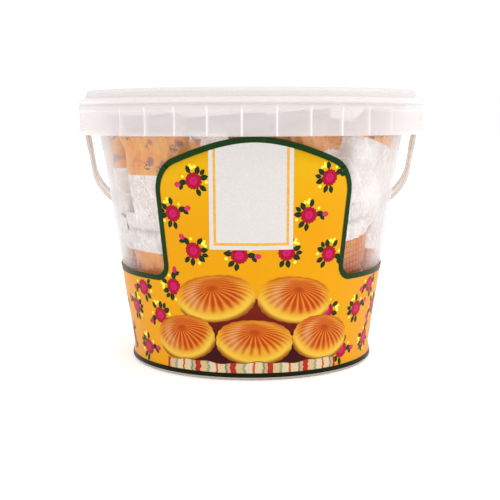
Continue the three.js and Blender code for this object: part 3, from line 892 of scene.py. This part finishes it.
def sleeve(inner, outer):
    """A closed sleeve round the wall from the label's foot up to its edge."""
    turn, top = whole_edge()
    low = np.array([LABEL_BOTTOM, 4.0, 6.0, FOOT_HEIGHT])[:, None] + 0 * top
    share = np.linspace(0, 1, 14)[1:, None]
    z = np.concatenate([low, FOOT_HEIGHT + (top - FOOT_HEIGHT) * share])
    rows = np.concatenate([on_wall(turn + 0 * z, z, outer), on_wall(turn + 0 * z, z, inner)[::-1]])
    faces = grid_faces(len(rows), len(turn), round_rows=True, round_columns=True)
    uv = np.stack([np.tile(turn / (2 * PI), len(rows)), np.concatenate([z, z[::-1]]).ravel() / HEIGHT], 1)
    return rows.reshape(-1, 3), faces, uv


def edge_strip(width, lift):
    """A strip of even width just inside the label's upper edge, worked out along the edge's
    normal on the unrolled wall."""
    turn, top = whole_edge()
    line = spaced(np.stack([np.unwrap(turn) * MIDDLE_WALL, top], 1), 1.0, closed=False)
    path = np.concatenate([line, [[line[0, 0] + 2 * PI * MIDDLE_WALL, line[0, 1]]]])
    turn, z = path[:, 0] / MIDDLE_WALL, path[:, 1]
    r = wall_radius(z)
    ahead = np.stack([np.gradient(turn) * r, np.gradient(z)], 1)
    ahead /= np.linalg.norm(ahead, axis=1)[:, None]
    off = np.linspace(0, width, 5)[:, None]
    points = on_wall(turn + off * ahead[:, 1] / r, z - off * ahead[:, 0], lift)
    uv = np.stack([np.tile(turn / (2 * PI), 5), np.repeat(np.linspace(0, 1, 5), len(turn))], 1)
    return points.reshape(-1, 3), grid_faces(5, len(turn))[:, ::-1], uv


def ring_strip(low, high, lift):
    """A level strip all round the wall."""
    count = 400
    turn = np.arange(count) * 2 * PI / count
    z = np.linspace(low, high, 3)[:, None]
    uv = np.stack([np.tile(turn / (2 * PI), 3), np.repeat([0, 0.5, 1], count)], 1)
    return on_wall(turn + 0 * z, z, lift).reshape(-1, 3), grid_faces(3, count, round_columns=True), uv


def front_patch(x, up, z, lift):
    """A patch on the front of the wall, from grids of mm across, share of the way up and height."""
    uv = np.stack([x.ravel() / np.ptp(x) + 0.5, up.ravel()], 1)
    return on_wall(FRONT + x / wall_radius(z), z, lift).reshape(-1, 3), grid_faces(*x.shape), uv


def disc(rings, spokes, outline):
    """A flat shape about its middle: outline(angle) gives its radius, 1 at the most."""
    share = np.linspace(0, 1, rings + 1)[1:, None]
    angle = np.arange(spokes) * 2 * PI / spokes
    r = share * outline(angle)
    xy = np.stack([r * np.cos(angle), r * np.sin(angle)], -1).reshape(-1, 2)
    xy = np.concatenate([xy, [[0.0, 0.0]]])
    faces = grid_faces(rings, spokes, round_columns=True)[:, ::-1]
    return xy, np.concatenate([faces, fan(rings * spokes, np.arange(spokes))]), xy * 0.5 + 0.5


def leaf_shape():
    """A pointed leaf from -1 to 1 along x: half width 0.5 (1 - x^2), with two parameters."""
    x, side = np.meshgrid(np.linspace(-1, 1, 15), np.linspace(-1, 1, 5))
    xy = np.stack([x, side * 0.5 * (1 - x**2)], -1).reshape(-1, 2)
    return xy, grid_faces(*x.shape), np.stack([x.ravel(), side.ravel()], 1) * 0.5 + 0.5


def stamped(shape, places, lift, inside=True):
    """Copies of a flat shape on the label.  A place is its turn in radians, height, rotation,
    size along and size across; copies that would leave the label are dropped."""
    xy, faces, uv = shape
    turn, z, spin, along, across = np.asarray(places, float).T[..., None]
    x, y = xy[:, 0] * along, xy[:, 1] * across
    z = z + x * np.sin(spin) + y * np.cos(spin)
    turn = turn + (x * np.cos(spin) - y * np.sin(spin)) / wall_radius(z)
    if inside:
        margin = 1.5
        kept = (z < top_edge(turn) - margin).all(1) & (z > LABEL_BOTTOM + margin).all(1)
        turn, z = turn[kept], z[kept]
    faces = (faces[None] + (np.arange(len(z)) * len(xy))[:, None, None]).reshape(-1, 3)
    return on_wall(turn, z, lift).reshape(-1, 3), faces, np.tile(uv, (len(z), 1))


def spray_places():
    """Where the flower sprays lie: rows about 20 mm apart, half-dropped, each turned and mirrored
    in its own way.  Gives turn, height, rotation and mirror.  Those that the panel or the heap
    would hide, or that the upper edge would cut, are left out."""
    rows = [(13.0, 0), (34.0, 1), (47.0, 0), (68.0, 1), (88.0, 0), (106.0, 1)]
    apart, stray, twist = 23, 5, 2.4
    heap_half, heap_high, reach = 40, 50, 5
    places = []
    for row, (z, shift) in enumerate(rows):
        count = int(2 * PI * wall_radius(z) / apart)
        i = np.arange(count)
        turn = (i + 0.5 * shift + 0.25) * 2 * PI / count + FRONT
        draw = spread(i + 31 * row)
        mirror = np.where(draw * 7 % 1 > 0.5, 1, -1)
        places.append(np.stack([turn, z + stray * (draw - 0.5), twist * (draw - 0.5), mirror], 1))
    places = np.concatenate(places)
    turn, z = places[:, 0], places[:, 1]
    off = np.abs((turn - FRONT + PI) % (2 * PI) - PI) * wall_radius(z)
    hidden = (off < PANEL_HALF - 2) & (z > PANEL_BOTTOM) | (off < heap_half) & (z < heap_high)
    for side in (-reach, reach):
        hidden |= z + reach > top_edge(turn + side / MIDDLE_WALL) - 3
    return places[~hidden]


def spray_part(places, x, y, spin, along, across):
    """One part of every spray, at x, y from the bloom, as places for stamped()."""
    turn, z, rotation, mirror = places.T
    dx = mirror * (x * np.cos(rotation) - y * np.sin(rotation))
    dz = x * np.sin(rotation) + y * np.cos(rotation)
    angle = np.where(mirror > 0, spin + rotation, PI - spin - rotation)
    return np.stack([turn + dx / wall_radius(z), z + dz, angle, 0 * z + along, 0 * z + across], 1)


def flowers():
    """Sprays of one bloom, leaves, a bud and yellow specks, scattered over the gold."""
    places = spray_places()
    bloom = disc(5, 90, lambda a: 0.955 + 0.045 * np.cos(15 * a))
    drop = disc(2, 14, np.ones_like)
    # x, y from the bloom, rotation, size along and size across
    leaves = [
        (-5.4, 1.8, 2.7, 2.4), (-5.0, -2.8, 3.7, 2.5), (-0.6, -5.9, -1.7, 2.3), (2.6, -5.6, -1.1, 2.2),
        (4.6, 3.8, 0.7, 2.5), (7.0, 3.2, -0.3, 2.0), (-2.4, 5.8, 2.0, 2.2), (-6.6, -0.6, 3.1, 1.9),
    ]
    leaves = [(x, y, turn, size, size * 1.15) for x, y, turn, size in leaves]
    specks = [(-4.4, 5.0, 1.0), (-5.9, 4.2, 0.9), (-4.9, 6.4, 0.8), (2.4, 5.8, 0.8), (-4.3, -5.4, 0.9)]
    specks = [(x, y, 0, size, size) for x, y, size in specks]
    bud_red = printed_plain("label_bud", (196, 30, 62), (222, 60, 110))
    speck_yellow = printed_plain("label_speck", (252, 232, 40), (255, 244, 110))
    for name, shape, items, lift, finish in [
        ("label_leaves", leaf_shape(), leaves, LIFT["leaf"], printed_leaf()),
        ("label_blossoms", bloom, [(0, 0, 0.4, 4.6, 4.4)], LIFT["bloom"], printed_blossom()),
        ("label_buds", drop, [(7.6, 5.4, 0.6, 1.8, 1.4)], LIFT["bud"], bud_red),
        ("label_specks", drop, specks, LIFT["bloom"], speck_yellow),
    ]:
        on_label(name, joined([stamped(shape, spray_part(places, *item), lift) for item in items]), finish)


def panel():
    """The bare white panel under the middle of the arch, with one gold line inside its edge: two
    uprights and a foot."""
    x, up = np.meshgrid(np.linspace(-PANEL_HALF, PANEL_HALF, 41), np.linspace(0, 1, 30))
    top = top_edge(FRONT + x / wall_radius(100.0)) - PANEL_EDGE
    white = printed_plain("label_panel_white", (217, 212, 209), (222, 218, 215), 900.0)
    gold = printed_plain("label_gold_ink", (226, 164, 44), (240, 186, 70))
    z = PANEL_BOTTOM + (top - PANEL_BOTTOM) * up
    on_label("label_panel", front_patch(x, up, z, LIFT["panel"]), white)
    line, inset, upper_wall = 1.3, 2.2, 82.0
    low, half = PANEL_BOTTOM + inset, PANEL_HALF - inset
    strips = []
    for middle in (line / 2 - half, half - line / 2):
        x, up = np.meshgrid(middle + np.linspace(-line / 2, line / 2, 3), np.linspace(0, 1, 30))
        z = low + (top_edge(FRONT + x / upper_wall) - PANEL_EDGE - low) * up
        strips.append(front_patch(x, up, z, LIFT["gold"]))
    x, up = np.meshgrid(np.linspace(-half, half, 30), np.linspace(0, 1, 3))
    strips.append(front_patch(x, up, low + line * up, LIFT["gold"] + 0.002))
    on_label("label_gold_line", joined(strips), gold)


def printed_heap():
    """A heap of ridged round biscuits along the foot of the front arch, on a dark hollow, behind a
    strip of striped cloth.  A biscuit's outline is (|cos|^2.3 + |sin|^2.3)^(-1/2.3), slightly
    scalloped; the hollow's top is (1 - x^4)^(1/2) for x of -1 to 1 across it.  The cloth bends with
    the wall at the foot's height, so half its rows lie below that and half above."""

    def outline(a):
        """A biscuit's radius at an angle."""
        squarish = (np.abs(np.cos(a)) ** 2.3 + np.abs(np.sin(a)) ** 2.3) ** (-1 / 2.3)
        return squarish * (0.99 + 0.01 * np.cos(23 * a))

    # for each row its wall radius, and for each biscuit mm across, height, turn and half sizes
    rows = [
        (70, [(-18.6, 43.5, 0.14, 21.5, 12.5), (22.6, 42.5, -0.16, 20.5, 12.5)]),
        (68, [(-36.0, 21.2, 0.2, 18.0, 12.2), (38.0, 21.0, -0.2, 17.5, 12.2)]),
        (68, [(1.5, 20.4, -0.04, 20.0, 12.2)]),
    ]
    dome = disc(14, 120, outline)
    heap = [
        stamped(dome, [(FRONT + x / radius, *rest) for x, *rest in row], LIFT["biscuit"] + 0.015 * i, False)
        for i, (radius, row) in enumerate(rows)
    ]
    on_label("label_biscuits", joined(heap), printed_biscuit())
    half, rise = 36, 36
    x, up = np.meshgrid(np.linspace(-1, 1, 60), np.linspace(0, 1, 12))
    z = FOOT_HEIGHT + rise * np.sqrt(np.clip(1 - x**4, 0, 1)) * up
    on_label("label_hollow", front_patch(half * x, up, z, LIFT["hollow"]), printed_shade())
    half, low, high = 48, 3.2, 9.3
    x, up = np.meshgrid(np.linspace(-1, 1, 90), np.linspace(0, 1, 10))
    top = high + 0.6 * np.sin(9 * x + 1) + 0.4 * np.sin(23 * x)
    below = low + (FOOT_HEIGHT - low) * up[:5] / up[4]
    above = FOOT_HEIGHT + (top[:5] - FOOT_HEIGHT) * up[1:6] / up[5]
    z = np.concatenate([below, above])
    on_label("label_cloth", front_patch(half * x, up, z, LIFT["cloth"]), printed_cloth())


def label():
    """The film and all that is printed on it."""
    on_label("label", sleeve(GAP, LIFT["film"]), printed_ground(), replaces="label")
    green = printed_plain("label_green", (20, 52, 14), (26, 60, 20))
    # the foot line's own green, darkened far below the border's green as painted shade at the foot
    shaded_green = printed_plain("label_foot_green_shaded", (16, 24, 6), (22, 32, 8))
    on_label("label_border", edge_strip(3.0, LIFT["border"]), green)
    foot_line = ring_strip(LABEL_BOTTOM, LABEL_BOTTOM + 2.3, LIFT["border"])
    on_label("label_foot_line", foot_line, shaded_green)
    flowers()
    printed_heap()
    panel()


# ---- the handle -----------------------------------------------------------------------------


def hung(points):
    """From the strap's own plane to its rest: turned about X at the pins and lifted to them."""
    lean = math.radians(90 - STRAP_REST)
    x, y, z = points.T
    back = y * math.cos(lean) + z * math.sin(lean)
    return np.stack([x, back, PIVOT_HEIGHT - y * math.sin(lean) + z * math.cos(lean)], 1)


def strap():
    """The strap's line, straight legs and a half-oval bow, carrying a section with a raised bead
    along each edge; the section's normal is the line's."""
    t = np.linspace(0, PI, 181)
    bow = np.stack([STRAP_REACH_OUT * np.cos(t), STRAP_LEG + STRAP_BOW * np.sin(t)], 1)
    leg = np.linspace(0, STRAP_LEG, 12, endpoint=False)[:, None] * [0, 1]
    line = np.concatenate([leg + [STRAP_REACH_OUT, 0], bow, leg[::-1] - [STRAP_REACH_OUT, 0]])
    ahead = np.gradient(line, axis=0)
    ahead /= np.linalg.norm(ahead, axis=1)[:, None]
    out = np.stack([ahead[:, 1], -ahead[:, 0]], 1)
    half, thick = STRAP_WIDTH / 2, STRAP_THICKNESS / 2
    bead, web, thin = half - 1.3, half - 1.6, thick * 0.6
    section = spaced(rounded([
        [-half, -thick], [-bead, -thick], [-web, -thin], [web, -thin], [bead, -thick], [half, -thick],
        [half, thick], [bead, thick], [web, thin], [-web, thin], [-bead, thick], [-half, thick],
    ], 0.35, 4), 0.8)
    across, lift = section[:, 0], section[:, 1]
    flat = line[:, None] + out[:, None] * lift[None, :, None]
    points = np.concatenate([flat, np.broadcast_to(across[None, :, None], (*flat.shape[:2], 1))], -1)
    along = np.repeat(np.linspace(0, 1, len(line)), len(section))
    uv = np.stack([along, np.tile(across / STRAP_WIDTH + 0.5, len(line))], 1)
    count, points = len(section), points.reshape(-1, 3)
    points = np.concatenate([points, [points[:count].mean(0), points[-count:].mean(0)]])
    return hung(points), capped(len(line), count), np.concatenate([uv, [[0, 0.5], [1, 0.5]]])


def button(radius, inner, outer, round_off, side, dish=0.0):
    """A rounded disc lying along X between two distances from the axis, its outer face dished."""
    profile = [
        [0, inner], [radius, inner], [radius, outer],
        [radius - 1.2, outer], [radius - 1.5, outer - dish], [0, outer - dish],
    ]
    points, faces, uv = turned(rounded(profile, round_off, 4, closed=False), 64, closed=False)
    x, y, z = points.T
    return hung(np.stack([side * z, y, x], 1)), faces[:, ::-side], uv


def handle():
    """The strap, and at each end its eye, the pin through it and the pin's head inside the collar."""
    inner, outer = STRAP_REACH_OUT - STRAP_THICKNESS / 2, STRAP_REACH_OUT + STRAP_THICKNESS / 2
    head = EAR_FLAT - WALL - PIN_ROOM
    beige = strap_plastic()
    make("strap", strap(), beige, "strap_plastic", "bail", "handle")
    parts = []
    for side in (1, -1):
        parts += [
            button(EYE_RADIUS, inner, outer, 0.35, side, 0.3),
            button(PIN_RADIUS, head - 0.5, outer + 0.6, 0.4, side),
            button(PIN_HEAD_RADIUS, head - PIN_HEAD_THICKNESS, head, 0.3, side),
        ]
    points, faces, uv = joined(parts)
    make("strap_eyes", (points, faces, uv * 0 + 0.5), beige, "strap_plastic", "bail", "handle")


# ---- the contents ---------------------------------------------------------------------------


def pack(number, upper=1):
    """A flow-wrapped pack lying flat, width along X and length along Y.  Its section is a boxy
    loop: c of -1 to 1 times the half width across, and s = (1 - |c|^5)^(1/2.2) times the half
    height up, which falls to the thin seals.  The middle sheet curves out to lie against the wall
    towards the upper end.  Gathers run in from the seals, slow creases cross it, and every second
    point of each end is drawn back, so that the ends are pinked."""
    around, along = 120, 85
    lap = 2 * np.arange(around) / around
    even = np.where(lap < 1, 1 - 2 * lap, 2 * lap - 3)
    c = 0.55 * even + 0.45 * np.sin(even * PI / 2)
    s = np.where(lap < 1, 1, -1) * np.clip(1 - np.abs(c) ** 5, 0, 1) ** (1 / 2.2)
    v = np.linspace(-1, 1, along)[:, None]
    seal = 1 - 2 * CRIMP / PACK_LENGTH
    swell = np.sqrt(np.clip(1 - (np.abs(v) / seal) ** 4, 0, 1))
    half = np.maximum(CRIMP_THICKNESS / 4, PACK_THICKNESS / 2 * swell)
    draws = spread(number * 7 + np.arange(12))
    x = PACK_WIDTH / 2 * (1 - 0.05 * swell) * c
    y = v * PACK_LENGTH / 2 + 0 * c
    gather = np.sin(x * 1.1 + 6 * draws[0] + np.sin(y * 0.21 + 3 * draws[1]))
    gather = gather * np.exp(-(((np.abs(v) - 0.62) / 0.2) ** 2))
    folds = sum(
        -np.abs(np.sin(0.5 * (math.cos(a) * x + math.sin(a) * y) * k + 7 * d)) ** 0.7 * 0.5
        for a, k, d in zip(draws[2:6] * PI, (0.16, 0.22, 0.3, 0.42), draws[6:10])
    )
    dent = (0.9 * gather + 0.8 * folds) * np.clip(swell * 1.4, 0, 1)
    z = half * s + dent * s
    y = y - np.sign(v) * PACK_PINKING * (np.arange(around) % 2) * (np.abs(v) > 0.999)
    wave = 0.5 * np.sin(x * 0.35 + 5 * draws[10]) * np.clip((np.abs(v) - seal) / (1 - seal), 0, 1)
    rise = np.clip((upper * v - 0.45) / 0.4, 0, 1)
    lift = PACK_BEND * rise**2 * (3 - 2 * rise)
    points = np.stack([x, y, z + wave + lift], -1).reshape(-1, 3)
    uv = np.stack([x / PACK_WIDTH + 0.5, v * 0.5 + 0.5 + 0 * c], -1).reshape(-1, 2)
    end = PACK_LENGTH / 2 - 0.6
    points = np.concatenate([points, [[0, -end, lift[0, 0]], [0, end, lift[-1, 0]]]])
    return points, capped(along, around)[:, ::-1], np.concatenate([uv, [[0.5, 0], [0.5, 1]]])


def kept_in(points):
    """Points held inside the wall, above the floor and under the lid: past 130 mm, z becomes
    130 + 11 tanh((z - 130) / 11)."""
    x, y, z = points.T
    soft, give, lowest, off_wall = 130, 11, 5.2, 0.35
    z = np.where(z > soft, soft + give * np.tanh((z - soft) / give), np.maximum(z, lowest))
    r, reach = np.hypot(x, y), wall_radius(z) - WALL - off_wall
    share = np.minimum(1, reach / np.maximum(r, 1e-6))
    return np.stack([x * share, y * share, z], 1)


def against_wall(points, angle, height, tilt):
    """A pack turned by tilt in the wall's surface and bent round the inside of the wall."""
    c, s = math.cos(math.radians(tilt)), math.sin(math.radians(tilt))
    across = points[:, 0] * c - points[:, 1] * s
    z = height + points[:, 0] * s + points[:, 1] * c
    turn = math.radians(angle) + across / (wall_radius(height) - WALL)
    r = wall_radius(z) - WALL - WALL_CLEARANCE - PACK_THICKNESS / 2 + points[:, 2]
    return kept_in(np.stack([r * np.cos(turn), r * np.sin(turn), z], 1))


def on_top(points, angle, out, height, tilt, lean, roll):
    """A pack lying on the heap: rolled so that one edge lies over its neighbour, spun by tilt,
    leaned about Y, set off the axis and turned round it."""
    x, y, z = points.T
    c, s = math.cos(math.radians(roll)), math.sin(math.radians(roll))
    x, z = x * c - z * s, x * s + z * c
    a, b, g = (math.radians(k) for k in (tilt, lean, angle))
    x, y = x * math.cos(a) - y * math.sin(a), x * math.sin(a) + y * math.cos(a)
    x, z = x * math.cos(b) + z * math.sin(b) + out, -x * math.sin(b) + z * math.cos(b) + height
    x, y = x * math.cos(g) - y * math.sin(g), x * math.sin(g) + y * math.cos(g)
    return kept_in(np.stack([x, y, z], 1))


def core():
    """The bare middle under the packs, domed at the top, its skin drawn into shallow folds."""
    low = wall_radius(FOOT_HEIGHT) - WALL - CORE_INSET
    high = wall_radius(HEAP_TOP) - WALL - CORE_INSET
    profile = rounded([[0, 5.4], [low, 5.4], [high, HEAP_TOP - 4], [0, HEAP_TOP]], 3.0, 6, closed=False)
    points, faces, uv = turned(spaced(profile, 3.0, closed=False), 160, closed=False)
    turn = np.arctan2(points[:, 1], points[:, 0])
    z = points[:, 2]
    dip = 1 - 0.012 * (1 + np.sin(17 * turn + 0.11 * z)) - 0.008 * np.sin(0.2 * z + 5 * turn)
    return points * np.stack([dip, dip, 1 + 0 * dip], 1), faces, uv


def wrapped(name, placed, film):
    """One piece of several placed packs, each as (points, triangles, uv, own number, print slip);
    the last two become marks on its points."""
    count = [len(p[0]) for p in placed]
    lie, slip = (np.repeat(np.array([p[k] for p in placed], float), count) for k in (3, 4))
    marks = {"lie": lie, "slip": slip}
    make(name, joined(placed), film, "pack_film", replaces="contents", sharp=50, marks=marks)


def contents():
    """Two rings of packs against the wall, a few on top of them, and the core."""
    film = pack_film()
    number = 0
    for name, places in [("packs_low", LOW_PACKS), ("packs_high", HIGH_PACKS)]:
        placed = []
        for from_front, height, tilt, slip in places:
            points, faces, uv = pack(number, 1 if abs(tilt) < 90 else -1)
            number += 1
            points = against_wall(points, from_front - 90, height, tilt)
            placed.append((points, faces, uv, spread(number), slip))
        wrapped(name, placed, film)
    placed = []
    for i in range(PACKS_ON_TOP):
        draw = spread(40 + i)
        points, faces, uv = pack(20 + i, 0)
        points = on_top(
            points, angle=i * 360 / PACKS_ON_TOP + 20, out=36, height=111.5,
            tilt=78 + 24 * draw, lean=6, roll=13,
        )
        placed.append((points, faces, uv, draw, 12 * draw - 30))
    wrapped("packs_top", placed, film)
    make("heap_core", core(), core_film(), "pack_film", replaces="contents", sharp=0)


# ---- the whole ------------------------------------------------------------------------------

stand_camera()
light_studio()
lay_floor()

wall_clear = clear_plastic(
    "pail_clear", tone(226, 222, 222), flat_on=0.025, edge_on=0.66, cloud=0.03, roughness=0.16,
    ripple=0.25, turn_on=0.4,
)
collar_milky = clear_plastic(
    "collar_milky", tone(255, 251, 251), flat_on=0.40, edge_on=0.88, cloud=0.08, roughness=0.22,
    ripple=0.05, webs=True,
)
lid_milky = clear_plastic(
    "lid_milky", tone(255, 252, 252), flat_on=0.52, edge_on=0.9, cloud=0.08, roughness=0.2,
    ripple=0.03, window=84.0,
)

make("pail", shell(), wall_clear, "tub_plastic", replaces="tub")
make("pail_collar", collar(), collar_milky, "tub_plastic", replaces="collar")
make("pail_ribs", ribs(), rib_plastic(), "tub_plastic", replaces="collar")
make("lid", lid(), lid_milky, "lid_plastic", replaces="lid")
label()
handle()
contents()
